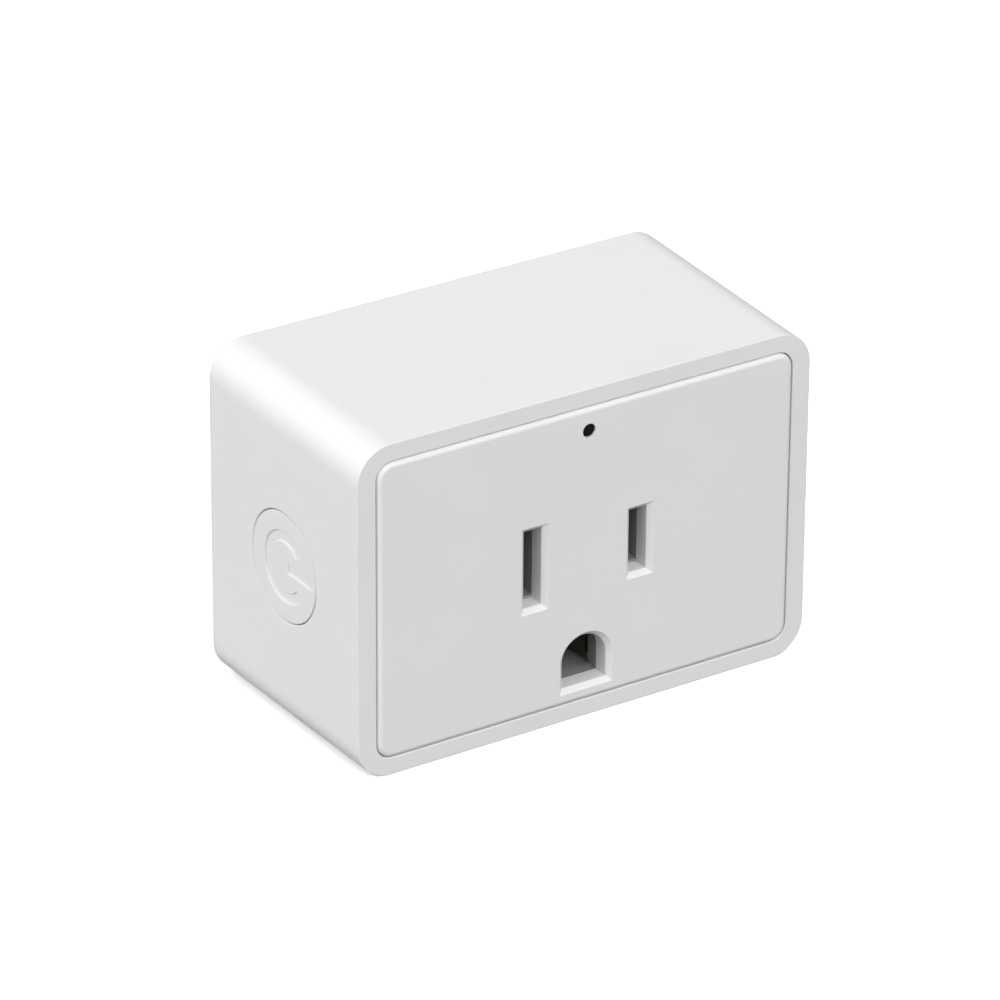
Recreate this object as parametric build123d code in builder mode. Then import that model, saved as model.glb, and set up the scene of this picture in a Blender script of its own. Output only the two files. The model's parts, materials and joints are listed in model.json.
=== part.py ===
from build123d import *
import os
from math import cos, radians, sin, tan

# A smart plug for a grounded North American outlet: a drafted sleeve closed by two covers, an outlet in
# front, three prongs at the back, and a switched circuit between them.
#
# Row frame, in millimetres: X to the right as the outlet is faced, Y from the outlet face towards the
# wall, Z up. Pieces are placed by (x, depth, height): depth is measured behind the sleeve's front end,
# height from the middle of that end.

# ---------------------------------------------------------------- driving dimensions
FACE_W = 54.26
FACE_H = 37.28
BODY_DEPTH = 28.2
DRAFT = 0.85
CORNER_R = 3.9
SLEEVE_EDGE = 0.08

OPENING_W = 49.93
OPENING_H = 33.42
OPENING_R = 1.9
RIM_ROUND = 0.12
COVER_GAP = 0.11
COVER_ROUND = 0.55
COVER_PROUD = 0.22
FRONT_COVER_T = 2.05
REAR_COVER_T = 2.2
LABEL_W = 30.0
LABEL_H = 7.6
LABEL_DEEP = 0.25

BLADE_SPACING = 12.7
GROUND_DROP = 11.9
BLADE_T = 1.5
BLADE_W = 6.35
BLADE_LENGTH = 17.5
GROUND_PIN_R = 2.375
GROUND_PIN_LENGTH = 20.6
PIN_ROOT_R = 2.7
SOCKET_HEIGHT = -0.02

THROAT_W = 2.16
NEUTRAL_SLOT_H = 8.76
NEUTRAL_SLOT_RISE = 0.08
LINE_SLOT_H = 7.19
LINE_SLOT_RISE = -0.07
SLOT_CHAMFER = 0.52
GROUND_THROAT_R = 2.69
GROUND_THROAT_H = 5.53
GROUND_THROAT_RISE = -0.1
CARRIER_LEDGE = 0.3
STATUS_HOLE_R = 0.77
STATUS_HEIGHT = 14.09

BUTTON_DEPTH = 13.98
BUTTON_HEIGHT = -0.1
BUTTON_R = 6.0
BUTTON_GAP = 0.12
BUTTON_ROUND = 0.12
BUTTON_HOLE_CHAMFER = 0.09
SYMBOL_R = 3.88
SYMBOL_STROKE = 1.0
SYMBOL_SHIFT = -0.12
SYMBOL_MOUTH = 41.0
SYMBOL_DEEP = 0.26
SYMBOL_ROUND = 0.2
BAR_START = -0.76
BAR_END = -5.3
BAR_RISE = 0.16
CAP_T = 1.6

BOARD_FRONT = 17.2
BOARD_T = 1.6
BOARD_W = 48.6
BOARD_H = 32.0
LEAD_R = 0.3
LEAD_PROUD = 0.9
STRIP_T = 0.6
FIT = 0.03

# ---------------------------------------------------------------- worked-out sizes
BACK_W = FACE_W + 2 * BODY_DEPTH * tan(radians(DRAFT))
BACK_H = FACE_H + 2 * BODY_DEPTH * tan(radians(DRAFT))
FRONT_Y = COVER_PROUD - (COVER_PROUD + BODY_DEPTH + GROUND_PIN_LENGTH) / 2
MIDDLE_Z = BACK_H / 2 - SLEEVE_EDGE * tan(radians(DRAFT))
REAR_INNER = BODY_DEPTH - REAR_COVER_T
COVER_W = OPENING_W - 2 * COVER_GAP
COVER_H = OPENING_H - 2 * COVER_GAP
COVER_R = OPENING_R - COVER_GAP
BLADE_X = BLADE_SPACING / 2
GROUND_HEIGHT = SOCKET_HEIGHT - GROUND_DROP
BOARD_BACK = BOARD_FRONT + BOARD_T
LEAD_TIP = BOARD_BACK + LEAD_PROUD
NEUTRAL_X = -BLADE_X
LINE_X = BLADE_X
BUTTON_FACE_X = -(FACE_W / 2 + BUTTON_DEPTH * tan(radians(DRAFT)))

# ---------------------------------------------------------------- places of the inner pieces
POST = 5.4
POST_X = OPENING_W / 2 - POST / 2
POST_Z = OPENING_H / 2 - POST / 2
POSTS = [(POST_X, POST_Z), (-POST_X, POST_Z), (-POST_X, -POST_Z), (POST_X, -POST_Z)]
PEG_R = 1.5
PEG_END = 6.5
SCREW_R = 1.25
SCREW_END = 14.0

CARRIER_W = 21.2
CARRIER_TOP = 7.2
CARRIER_BOTTOM = -16.2
CARRIER_BACK = 15.9
CARRIER_WALL = 1.55
CONTACT_ROOM = 3.1
BOARD_SCREWS = [(0, 4.2), (0, -5.0)]
BOARD_SCREW_R = 1.0
BOARD_SCREW_END = 10.0
BOARD_SCREW_HEAD = 1.3

CONTACT_BASE = 14.2
CONTACT_MOUTH = 4.5
CONTACT_H = 6.0
TAIL_SHIFT = 1.8
TAIL_W = 2.6
STRAP_X = BLADE_T / 2
STRAP_H = 4.0
STRAP_START = 16.7
BLADE_ROOT = 22.6
RIVET_DEPTH = 23.9
RIVET_R = 1.0
RIVET_HEAD_R = 1.45
BLADE_SEAT_T = 0.6
SPIGOT_R = 1.5
SPIGOT_HEAD_R = 2.1
SPIGOT_HEAD_START = 24.5
GROUND_STRAP_START = 25.2
GROUND_STRAP_T = 0.8
GROUND_STRAP_W = 5.0
GROUND_NOTCH = (0, -14.0, 8.0, 6.0)
BUTTON_NOTCH_END = 2.1 - BOARD_W / 2
BUTTON_NOTCH_H = 15.6

SHEET_DEPTH = 21.0
SHEET_T = 0.4

RELAY_X = 17.5
RELAY_Z = -0.1
RELAY_W = 10.2
RELAY_L = 17.6
RELAY_FRONT = 4.8
RELAY_WALL = 0.6
RELAY_BASE = 15.0
BLADE_TERMINAL = (3.2, 0.5)
FIXED_TERMINAL_Z = 1.45
MOVING_TERMINAL_Z = 7.25
COIL_DEPTH = 10.0
COIL_R = 3.3
COIL_ENDS = (-5.9, 1.3)
FLANGE_T = 0.7
CORE_R = 1.4
FORMER_R = 2.1
POLE_R = 2.2
YOKE_FOOT_END = 13.2
YOKE_W = 7.2
YOKE_T = 1.0
ARMATURE_FACE = 2.6
POLE_T = 0.24
PIVOT_DEPTH = 6.1
PIVOT_RISE = 1.9
ARMATURE_T = 0.8
ARMATURE_W = 6.8
ARMATURE_DEPTHS = (5.7, 12.6)
LEAF_DEPTHS = (7.6, 14.8)
LEAF_T = 0.2
FIXED_FACE = 2.2
CONTACT_TRAVEL = 0.47
CONTACT_POINT_DEPTH = 14.1
CONTACT_POINT_R = 0.7

GUIDE_START = 1.8
BUTTON_GUIDE_END = 3.8
FLANGE_START = 4.0
SWITCH_FACE_X = -19.6
SWITCH_BACK_X = -16.2
SWITCH_SIZE = 6.0
DOME_ROOM_R = 2.5
DOME_ROOM_START = 0.3
DOME_ROOM_END = 2.6
DOME_SPAN = 2.3
DOME_RISE = 0.55
DOME_T = 0.1
PLUNGER_R = 1.65
PLUNGER_TIP_X = -20.6
PLUNGER_END_X = -18.0
STEM_CLEARANCE = 0.05

CAPACITORS = {"inner": (5.3, 12.2), "outer": (12.0, 12.2)}
CAPACITOR_R = 3.15
CAPACITOR_L = 11.0
CHOKE = (-15.1, 6.7)
CHOKE_R = 3.2
CHOKE_L = 8.5
FILM = (-14.7, -10.5)
FILM_SIZE = (5.6, 10.4, 11.0)
VARISTOR = (-20.0, -7.2)
VARISTOR_R = 3.7
VARISTOR_T = 3.0
RESISTOR = (-13.3, -0.6)
RESISTOR_R = 1.6
RESISTOR_L = 7.0
RECTIFIER = (14.9, -13.1)
RECTIFIER_SIZE = (6.2, 4.4, 2.4)
CHIP = (17.2, 12.3)
CHIP_SIZE = (3.2, 4.9, 1.5)
WIFI_X = -9.4
WIFI_W = 14.8
WIFI_FRONT = 3.0
WIFI_HEIGHT = 10.4
WIFI_T = 0.8
WIFI_TAB_W = 11.0
SHIELD_DEPTH = 11.9
SHIELD_L = 8.6
SHIELD_H = 2.2
SHIELD_T = 0.2
LED_R = 1.5
LED_TIP = 12.4
GUIDE_R = 1.1
GUIDE_END = 12.2
GUIDE_SUNK = 0.15

LEAD_PAIRS = {
    "capacitor_inner": [(CAPACITORS["inner"][0] + s, CAPACITORS["inner"][1]) for s in (-1.25, 1.25)],
    "capacitor_outer": [(CAPACITORS["outer"][0] + s, CAPACITORS["outer"][1]) for s in (-1.25, 1.25)],
    "choke": [(CHOKE[0] + s, CHOKE[1]) for s in (-2.0, 2.0)],
    "film": [(FILM[0], FILM[1] + s) for s in (-3.75, 3.75)],
    "varistor": [(VARISTOR[0], VARISTOR[1] + s) for s in (-2.0, 2.0)],
    "resistor": [(RESISTOR[0], RESISTOR[1]), (RESISTOR[0], RESISTOR[1] + 3.0)],
    "led": [(-1.0, STATUS_HEIGHT), (1.0, STATUS_HEIGHT)],
    "relay": [(RELAY_X + s, RELAY_Z - 7.5) for s in (-2.6, 2.6)],
    "switch": [(x, BUTTON_HEIGHT + s) for x in (-19.0, -16.8) for s in (-2.2, 2.2)],
}

os.makedirs("parts", exist_ok=True)


# ---------------------------------------------------------------- planes and helpers
def facing(depth):
    """The plane parallel to the outlet face: x to the right, y up, normal towards the user."""
    return Plane(origin=(0, FRONT_Y + depth, MIDDLE_Z), x_dir=(1, 0, 0), z_dir=(0, -1, 0))


def across(x):
    """The plane across the body at x: its own x is depth, its own y is height, normal to the right."""
    return Plane(origin=(x, FRONT_Y, MIDDLE_Z), x_dir=(0, 1, 0), z_dir=(1, 0, 0))


def level(height):
    """The level plane at this height: its own x is x, its own y is depth, normal up."""
    return Plane(origin=(0, FRONT_Y, MIDDLE_Z + height), x_dir=(1, 0, 0), z_dir=(0, 0, 1))


def inward(distance):
    """The plane this far inside the button's face: its own x is along the drafted wall, normal inward."""
    along = Vector(-sin(radians(DRAFT)), cos(radians(DRAFT)), 0)
    into = Vector(cos(radians(DRAFT)), sin(radians(DRAFT)), 0)
    face = Vector(BUTTON_FACE_X, FRONT_Y + BUTTON_DEPTH, MIDDLE_Z + BUTTON_HEIGHT)
    return Plane(origin=face + into * distance, x_dir=along, z_dir=into)


def finish(builder, name):
    """Label a finished piece and write it."""
    builder.part.label = name
    export_step(builder.part, f"parts/{name}.step")


def ground_outline():
    """The round-topped ground hole."""
    radius = GROUND_THROAT_R
    middle = GROUND_HEIGHT + GROUND_THROAT_RISE
    bottom = middle + radius - GROUND_THROAT_H
    with BuildSketch() as outline:
        with BuildLine():
            arc = CenterArc((0, middle), radius, 0, 180)
            Polyline(arc @ 1, (-radius, bottom), (radius, bottom), arc @ 0)
        make_face()
    return outline.sketch


def throats(ledge):
    """The three openings of the outlet, as one sketch; the blade slots' lower ends are raised by a ledge."""
    with BuildSketch() as openings:
        with Locations((NEUTRAL_X, SOCKET_HEIGHT + NEUTRAL_SLOT_RISE + ledge / 2)):
            Rectangle(THROAT_W, NEUTRAL_SLOT_H - ledge)
        with Locations((LINE_X, SOCKET_HEIGHT + LINE_SLOT_RISE + ledge / 2)):
            Rectangle(THROAT_W, LINE_SLOT_H - ledge)
        add(ground_outline())
    return openings.sketch


def bent_strip(points, thickness, bend=0.4):
    """A sheet-metal profile: its one face follows the points, and the metal lies to their left."""
    with BuildSketch() as profile:
        with BuildLine():
            FilletPolyline(*points, radius=bend)
            offset(amount=thickness, side=Side.LEFT)
        make_face()
    return profile.sketch


def add_leads(points, start):
    """Round tinned leads, from inside a component to just past the board's back."""
    with Locations(facing(start)):
        with Locations(*points):
            Cylinder(LEAD_R, LEAD_TIP - start, align=(Align.CENTER, Align.CENTER, Align.MAX))


def screw_profile(head, tip, head_r, shank_r, taper_head, ridge=0.0):
    """Half of a screw's section: radius against depth, from its head's outer face to its point."""
    neck = head - taper_head
    points = [(0, head), (head_r, head), (shank_r, neck)]
    steps = int((neck - tip) / 0.9)
    for step in range(steps if ridge else 0):
        depth = neck - 0.6 - 0.9 * step
        points += [(shank_r - ridge, depth), (shank_r, depth - 0.25)]
    points += [(shank_r - ridge, tip + 1.2), (0.2, tip), (0, tip)]
    return points


# ---------------------------------------------------------------- casing
def housing_sleeve():
    """The drafted sleeve: open at both ends, with corner posts and the button's guide inside."""
    with BuildPart() as sleeve:
        with BuildSketch(facing(BODY_DEPTH)):
            Rectangle(BACK_W, BACK_H)
        extrude(amount=BODY_DEPTH)
        draft(sleeve.faces().filter_by(Axis.Y, reverse=True), facing(BODY_DEPTH), DRAFT)
        fillet(sleeve.edges().filter_by(lambda edge: abs((edge % 0.5).Y) > 0.9), CORNER_R)
        ends = sleeve.faces().filter_by(Axis.Y)
        fillet(ends.edges(), SLEEVE_EDGE)
        with BuildSketch(facing(BODY_DEPTH)):
            RectangleRounded(OPENING_W, OPENING_H, OPENING_R)
        extrude(amount=BODY_DEPTH, mode=Mode.SUBTRACT)
        rim = sleeve.faces().filter_by(Axis.Y).edges().filter_by(
            lambda edge: abs(edge.center().X) < OPENING_W / 2 + 0.05
            and abs(edge.center().Z - MIDDLE_Z) < OPENING_H / 2 + 0.05
        )
        fillet(rim, RIM_ROUND)
        with BuildSketch(facing(REAR_INNER)):
            with Locations(*POSTS):
                Rectangle(POST + 0.6, POST + 0.6)
            RectangleRounded(OPENING_W + 0.6, OPENING_H + 0.6, OPENING_R + 0.3, mode=Mode.INTERSECT)
        extrude(amount=REAR_INNER - FRONT_COVER_T)
        with BuildSketch(facing(REAR_INNER)):
            with Locations(*POSTS):
                Circle(SCREW_R + FIT)
        extrude(amount=REAR_INNER - SCREW_END + 1, mode=Mode.SUBTRACT)
        with BuildSketch(facing(FRONT_COVER_T)):
            with Locations(*POSTS):
                Circle(PEG_R + FIT)
        extrude(amount=FRONT_COVER_T - PEG_END - 0.5, mode=Mode.SUBTRACT)
        with BuildSketch(inward(GUIDE_START)):
            Circle(BUTTON_R + BUTTON_GAP + 1.3)
        extrude(amount=BUTTON_GUIDE_END - GUIDE_START)
        with BuildSketch(inward(-1)):
            Circle(BUTTON_R + BUTTON_GAP)
        extrude(amount=BUTTON_GUIDE_END + 2, mode=Mode.SUBTRACT)
        button_side = sleeve.faces().filter_by(inward(0)).sort_by(Axis.X)[0]
        chamfer(button_side.inner_wires().edges(), BUTTON_HOLE_CHAMFER)
    return sleeve


def front_cover():
    """The outlet face: a plate with the slots, locating pegs, and ribs round the socket carrier."""
    with BuildPart() as cover:
        with BuildSketch(facing(FRONT_COVER_T)):
            RectangleRounded(COVER_W, COVER_H, COVER_R)
        extrude(amount=FRONT_COVER_T + COVER_PROUD)
        front = cover.faces().sort_by(Axis.Y)[0]
        fillet(front.edges(), COVER_ROUND)
        extrude(facing(FRONT_COVER_T) * throats(0), amount=FRONT_COVER_T + COVER_PROUD, mode=Mode.SUBTRACT)
        mouths = cover.faces().sort_by(Axis.Y)[0].inner_wires().edges()
        chamfer(mouths, SLOT_CHAMFER)
        with BuildSketch(facing(FRONT_COVER_T)):
            with Locations((0, STATUS_HEIGHT)):
                Circle(STATUS_HOLE_R)
        extrude(amount=FRONT_COVER_T + COVER_PROUD, mode=Mode.SUBTRACT)
        with BuildSketch(facing(PEG_END)):
            with Locations(*POSTS):
                Circle(PEG_R)
        extrude(amount=PEG_END - FRONT_COVER_T)
        with BuildSketch(facing(FRONT_COVER_T + 1.2)):
            with Locations((0, (CARRIER_TOP + CARRIER_BOTTOM) / 2)):
                Rectangle(CARRIER_W + 1.8, CARRIER_TOP - CARRIER_BOTTOM + 1.8)
                Rectangle(CARRIER_W + 0.2, CARRIER_TOP - CARRIER_BOTTOM + 0.2, mode=Mode.SUBTRACT)
            RectangleRounded(COVER_W - 1, COVER_H - 1, COVER_R, mode=Mode.INTERSECT)
        extrude(amount=1.2)
        with BuildSketch(facing(FRONT_COVER_T + 3)):
            with Locations((0, STATUS_HEIGHT)):
                Circle(GUIDE_R + 0.8)
                Circle(GUIDE_R + FIT, mode=Mode.SUBTRACT)
        extrude(amount=3)
    return cover


def rear_cover():
    """The prong side: a plate with the prongs' holes, screw seats and stand-offs."""
    with BuildPart() as cover:
        with BuildSketch(facing(BODY_DEPTH)):
            RectangleRounded(COVER_W, COVER_H, COVER_R)
        extrude(amount=REAR_COVER_T)
        back = cover.faces().sort_by(Axis.Y)[-1]
        fillet(back.edges(), COVER_ROUND)
        with BuildSketch(facing(REAR_INNER)):
            with Locations((NEUTRAL_X, SOCKET_HEIGHT), (LINE_X, SOCKET_HEIGHT)):
                Rectangle(BLADE_T + 3, BLADE_W + 5)
        extrude(amount=BLADE_SEAT_T)
        with BuildSketch(facing(BODY_DEPTH)):
            with Locations((NEUTRAL_X, SOCKET_HEIGHT), (LINE_X, SOCKET_HEIGHT)):
                Rectangle(BLADE_T + 2 * FIT, BLADE_W + 2 * FIT)
            with Locations((0, GROUND_HEIGHT)):
                Circle(PIN_ROOT_R + FIT)
        extrude(amount=REAR_COVER_T + 2, mode=Mode.SUBTRACT)
        with Locations(Plane(origin=(0, FRONT_Y + BODY_DEPTH, MIDDLE_Z), x_dir=(1, 0, 0), z_dir=(0, 1, 0))):
            with Locations(*POSTS):
                CounterSinkHole(SCREW_R + 0.15, 2.25, depth=REAR_COVER_T)
        with BuildSketch(facing(BODY_DEPTH)):
            with Locations((0, 10.4)):
                RectangleRounded(LABEL_W, LABEL_H, 1.0)
        extrude(amount=LABEL_DEEP, mode=Mode.SUBTRACT)
        with BuildSketch(facing(REAR_INNER)):
            with Locations((18.0, 10.0), (-18.0, 10.0), (-18.0, -10.0), (18.0, -10.0)):
                Circle(1.6)
        extrude(amount=REAR_INNER - SHEET_DEPTH - SHEET_T)
    return cover


def housing_screws():
    """Four self-tapping screws that draw the rear cover on to the sleeve's posts."""
    head = BODY_DEPTH - 0.1
    profile = screw_profile(head, SCREW_END, 2.15, SCREW_R, 0.9, ridge=0.3)
    with BuildPart() as screws:
        for x, z in POSTS:
            with BuildSketch(level(z)):
                with BuildLine():
                    Polyline(*[(x + r, depth) for r, depth in profile], close=True)
                make_face()
            revolve(axis=Axis((x, FRONT_Y, MIDDLE_Z + z), (0, 1, 0)))
        with BuildSketch(facing(head)):
            with Locations(*POSTS):
                Rectangle(2.4, 0.5)
                Rectangle(0.5, 2.4)
        extrude(amount=0.7, mode=Mode.SUBTRACT)
    return screws


# ---------------------------------------------------------------- outlet
def socket_carrier():
    """The moulded body behind the outlet face that keeps the three contacts apart."""
    middle = (CARRIER_TOP + CARRIER_BOTTOM) / 2
    with BuildPart() as carrier:
        with BuildSketch(facing(CARRIER_BACK)):
            with Locations((0, middle)):
                RectangleRounded(CARRIER_W, CARRIER_TOP - CARRIER_BOTTOM, 1.0)
        extrude(amount=CARRIER_BACK - FRONT_COVER_T)
        openings = facing(CARRIER_BACK) * throats(CARRIER_LEDGE)
        extrude(openings, amount=CARRIER_BACK - FRONT_COVER_T, mode=Mode.SUBTRACT)
        with BuildSketch(facing(CARRIER_BACK)):
            with Locations((NEUTRAL_X, SOCKET_HEIGHT), (LINE_X, SOCKET_HEIGHT)):
                Rectangle(2 * CONTACT_ROOM, NEUTRAL_SLOT_H + 1.6)
            with Locations((0, GROUND_HEIGHT)):
                Rectangle(7.2, 6.4)
        extrude(amount=CARRIER_BACK - FRONT_COVER_T - CARRIER_WALL, mode=Mode.SUBTRACT)
        with BuildSketch(facing(BOARD_FRONT)):
            with Locations(*BOARD_SCREWS):
                Circle(2.4)
        extrude(amount=BOARD_FRONT - CARRIER_BACK)
        with BuildSketch(facing(BOARD_FRONT)):
            with Locations(*BOARD_SCREWS):
                Circle(BOARD_SCREW_R + FIT)
        extrude(amount=8, mode=Mode.SUBTRACT)
    return carrier


def blade_contact(x, name):
    """A folded spring contact that grips a flat blade, with a tail through the board."""
    side = 1 if x > 0 else -1
    half = [(1.7, CONTACT_MOUTH), (0.55, 7.0), (2.1, 12.0), (2.1, CONTACT_BASE)]
    points = [(x + u, v) for u, v in half] + [(x - u, v) for u, v in reversed(half)]
    with BuildPart() as contact:
        extrude(level(SOCKET_HEIGHT) * bent_strip(points[::-1], STRIP_T), amount=CONTACT_H / 2, both=True)
        with BuildSketch(facing(LEAD_TIP)):
            with Locations((x - side * TAIL_SHIFT, SOCKET_HEIGHT)):
                Rectangle(STRIP_T, TAIL_W)
        extrude(amount=LEAD_TIP - CONTACT_BASE - STRIP_T / 2)
    finish(contact, name)


def ground_contact():
    """A wider folded contact that grips the round ground pin."""
    half = [(2.9, CONTACT_MOUTH), (2.2, 7.4), (2.7, 12.0), (2.7, CONTACT_BASE)]
    points = [(u, v) for u, v in half] + [(-u, v) for u, v in reversed(half)]
    with BuildPart() as contact:
        profile = bent_strip(points[::-1], STRIP_T)
        extrude(level(GROUND_HEIGHT) * profile, amount=2.4, both=True)
    return contact


# ---------------------------------------------------------------- prongs and straps
def blade(x, name):
    """A flat blade with a chamfered nose, a round hole, and a wider root inside the cover."""
    tip = BODY_DEPTH + BLADE_LENGTH
    with BuildPart() as prong:
        with BuildSketch(across(x)):
            with Locations(((tip + BLADE_ROOT) / 2, SOCKET_HEIGHT)):
                Rectangle(tip - BLADE_ROOT, BLADE_W)
            with Locations(((BLADE_ROOT + REAR_INNER - BLADE_SEAT_T) / 2, SOCKET_HEIGHT)):
                Rectangle(REAR_INNER - BLADE_SEAT_T - BLADE_ROOT, BLADE_W + 2)
        extrude(amount=BLADE_T / 2, both=True)
        nose = prong.faces().sort_by(Axis.Y)[-1]
        chamfer(nose.edges().filter_by(Axis.Z), 0.5)
        chamfer(prong.faces().sort_by(Axis.Y)[-1].edges().filter_by(Axis.X), 0.9)
        with BuildSketch(across(x)):
            with Locations((BODY_DEPTH + 11.9, SOCKET_HEIGHT)):
                Circle(1.75)
            with Locations((RIVET_DEPTH, SOCKET_HEIGHT)):
                Circle(RIVET_R)
        extrude(amount=BLADE_T, both=True, mode=Mode.SUBTRACT)
    finish(prong, name)


def blade_strap(x, name):
    """A flat strap riveted to a blade's root, with its front end soldered through the board."""
    side = 1 if x > 0 else -1
    with BuildPart() as strap:
        with BuildSketch(across(x + side * STRAP_X)):
            with Locations(((STRAP_START + REAR_INNER - 0.9) / 2, SOCKET_HEIGHT)):
                Rectangle(REAR_INNER - 0.9 - STRAP_START, STRAP_H)
            with Locations((RIVET_DEPTH, SOCKET_HEIGHT)):
                Circle(RIVET_R, mode=Mode.SUBTRACT)
        extrude(amount=side * STRIP_T)
    finish(strap, name)


def blade_rivets():
    """Two rivets that join the straps to the blades."""
    with BuildPart() as rivets:
        for x in (NEUTRAL_X, LINE_X):
            side = 1 if x > 0 else -1
            inner = x - side * BLADE_T / 2
            outer = x + side * (BLADE_T / 2 + STRIP_T)
            with BuildSketch(across(inner)):
                with Locations((RIVET_DEPTH, SOCKET_HEIGHT)):
                    Circle(RIVET_R)
            extrude(amount=outer - inner)
            for base, outward in ((inner, -side), (outer, side)):
                with BuildSketch(across(base)):
                    with Locations((RIVET_DEPTH, SOCKET_HEIGHT)):
                        Circle(RIVET_HEAD_R)
                extrude(amount=outward * 0.5)
        circles = rivets.edges().filter_by(GeomType.CIRCLE)
        heads = circles.filter_by(lambda edge: edge.radius > RIVET_R + 0.1)
        outermost = heads.group_by(lambda edge: round(abs(abs(edge.center().X) - BLADE_X - STRIP_T / 2), 3))
        fillet(outermost[-1], 0.3)
    return rivets


def ground_pin():
    """The round ground pin: a bullet nose, a wider root in the cover and a spigot upset over its strap."""
    tip = BODY_DEPTH + GROUND_PIN_LENGTH
    with BuildPart() as pin:
        with BuildSketch(level(GROUND_HEIGHT)):
            with BuildLine():
                nose = tip - 2.6
                Polyline((0, SPIGOT_HEAD_START), (SPIGOT_HEAD_R, SPIGOT_HEAD_START),
                         (SPIGOT_HEAD_R, GROUND_STRAP_START), (SPIGOT_R, GROUND_STRAP_START),
                         (SPIGOT_R, REAR_INNER), (PIN_ROOT_R, REAR_INNER), (PIN_ROOT_R, BODY_DEPTH),
                         (GROUND_PIN_R, BODY_DEPTH), (GROUND_PIN_R, nose))
                Spline((GROUND_PIN_R, nose), (1.75, tip - 0.75), (0, tip),
                       tangents=[(0, 1), (-1, 0)])
                Line((0, tip), (0, SPIGOT_HEAD_START))
            make_face()
        revolve(axis=Axis((0, FRONT_Y, MIDDLE_Z + GROUND_HEIGHT), (0, 1, 0)))
    return pin


def ground_strap():
    """A bent strap from the ground pin's spigot forward to the ground contact."""
    low = GROUND_HEIGHT - 2.9
    high = GROUND_HEIGHT + 3
    start = CONTACT_BASE + STRIP_T
    with BuildPart() as strap:
        with BuildSketch(across(-GROUND_STRAP_W / 2)):
            with BuildLine():
                Polyline((start, low), (REAR_INNER, low), (REAR_INNER, high), (GROUND_STRAP_START, high),
                         (GROUND_STRAP_START, low + GROUND_STRAP_T), (start, low + GROUND_STRAP_T),
                         close=True)
            make_face()
        extrude(amount=GROUND_STRAP_W)
        with BuildSketch(facing(REAR_INNER)):
            with Locations((0, GROUND_HEIGHT)):
                Circle(SPIGOT_R + FIT)
        extrude(amount=GROUND_STRAP_T, mode=Mode.SUBTRACT)
    return strap


# ---------------------------------------------------------------- board
def main_board():
    """The circuit board across the body, cut round the posts, the button and the ground strap."""
    with BuildPart() as board:
        with BuildSketch(facing(BOARD_BACK)):
            Rectangle(BOARD_W, BOARD_H)
            with Locations(*POSTS):
                Rectangle(POST + 0.8, POST + 0.8, mode=Mode.SUBTRACT)
            with Locations((BUTTON_NOTCH_END, BUTTON_HEIGHT)):
                Rectangle(BOARD_W, BUTTON_NOTCH_H, align=(Align.MAX, Align.CENTER), mode=Mode.SUBTRACT)
            with Locations(GROUND_NOTCH[:2]):
                Rectangle(*GROUND_NOTCH[2:], mode=Mode.SUBTRACT)
            with Locations(*BOARD_SCREWS):
                Circle(BOARD_SCREW_R + 0.15, mode=Mode.SUBTRACT)
            for x in (NEUTRAL_X, LINE_X):
                side = 1 if x > 0 else -1
                with Locations((x - side * TAIL_SHIFT, SOCKET_HEIGHT)):
                    Rectangle(STRIP_T + 0.4, TAIL_W + 0.4, mode=Mode.SUBTRACT)
                with Locations((x + side * (STRAP_X + STRIP_T / 2), SOCKET_HEIGHT)):
                    Rectangle(STRIP_T + 0.4, STRAP_H + 0.4, mode=Mode.SUBTRACT)
            with Locations((WIFI_X, WIFI_HEIGHT + WIFI_T / 2)):
                Rectangle(WIFI_TAB_W + 0.2, WIFI_T + 0.2, mode=Mode.SUBTRACT)
            for points in LEAD_PAIRS.values():
                with Locations(*points):
                    Circle(LEAD_R + 0.1, mode=Mode.SUBTRACT)
            for height in (FIXED_TERMINAL_Z, MOVING_TERMINAL_Z):
                with Locations((RELAY_X, RELAY_Z + height)):
                    Rectangle(BLADE_TERMINAL[0] + 0.4, BLADE_TERMINAL[1] + 0.3, mode=Mode.SUBTRACT)
        extrude(amount=BOARD_T)
    return board


def board_screws():
    """Two pan-head screws that hold the board against the carrier's bosses."""
    head = BOARD_BACK + BOARD_SCREW_HEAD
    profile = [(0, head), (1.5, head), (1.95, head - 0.5), (1.95, BOARD_BACK), (BOARD_SCREW_R, BOARD_BACK)]
    profile += [(BOARD_SCREW_R, BOARD_SCREW_END + 0.8), (0.3, BOARD_SCREW_END), (0, BOARD_SCREW_END)]
    with BuildPart() as screws:
        for x, z in BOARD_SCREWS:
            with BuildSketch(level(z)):
                with BuildLine():
                    Polyline(*[(x + r, depth) for r, depth in profile], close=True)
                make_face()
            revolve(axis=Axis((x, FRONT_Y, MIDDLE_Z + z), (0, 1, 0)))
        with BuildSketch(facing(head)):
            with Locations(*BOARD_SCREWS):
                Rectangle(2.0, 0.45)
                Rectangle(0.45, 2.0)
        extrude(amount=0.7, mode=Mode.SUBTRACT)
    return screws


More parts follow.
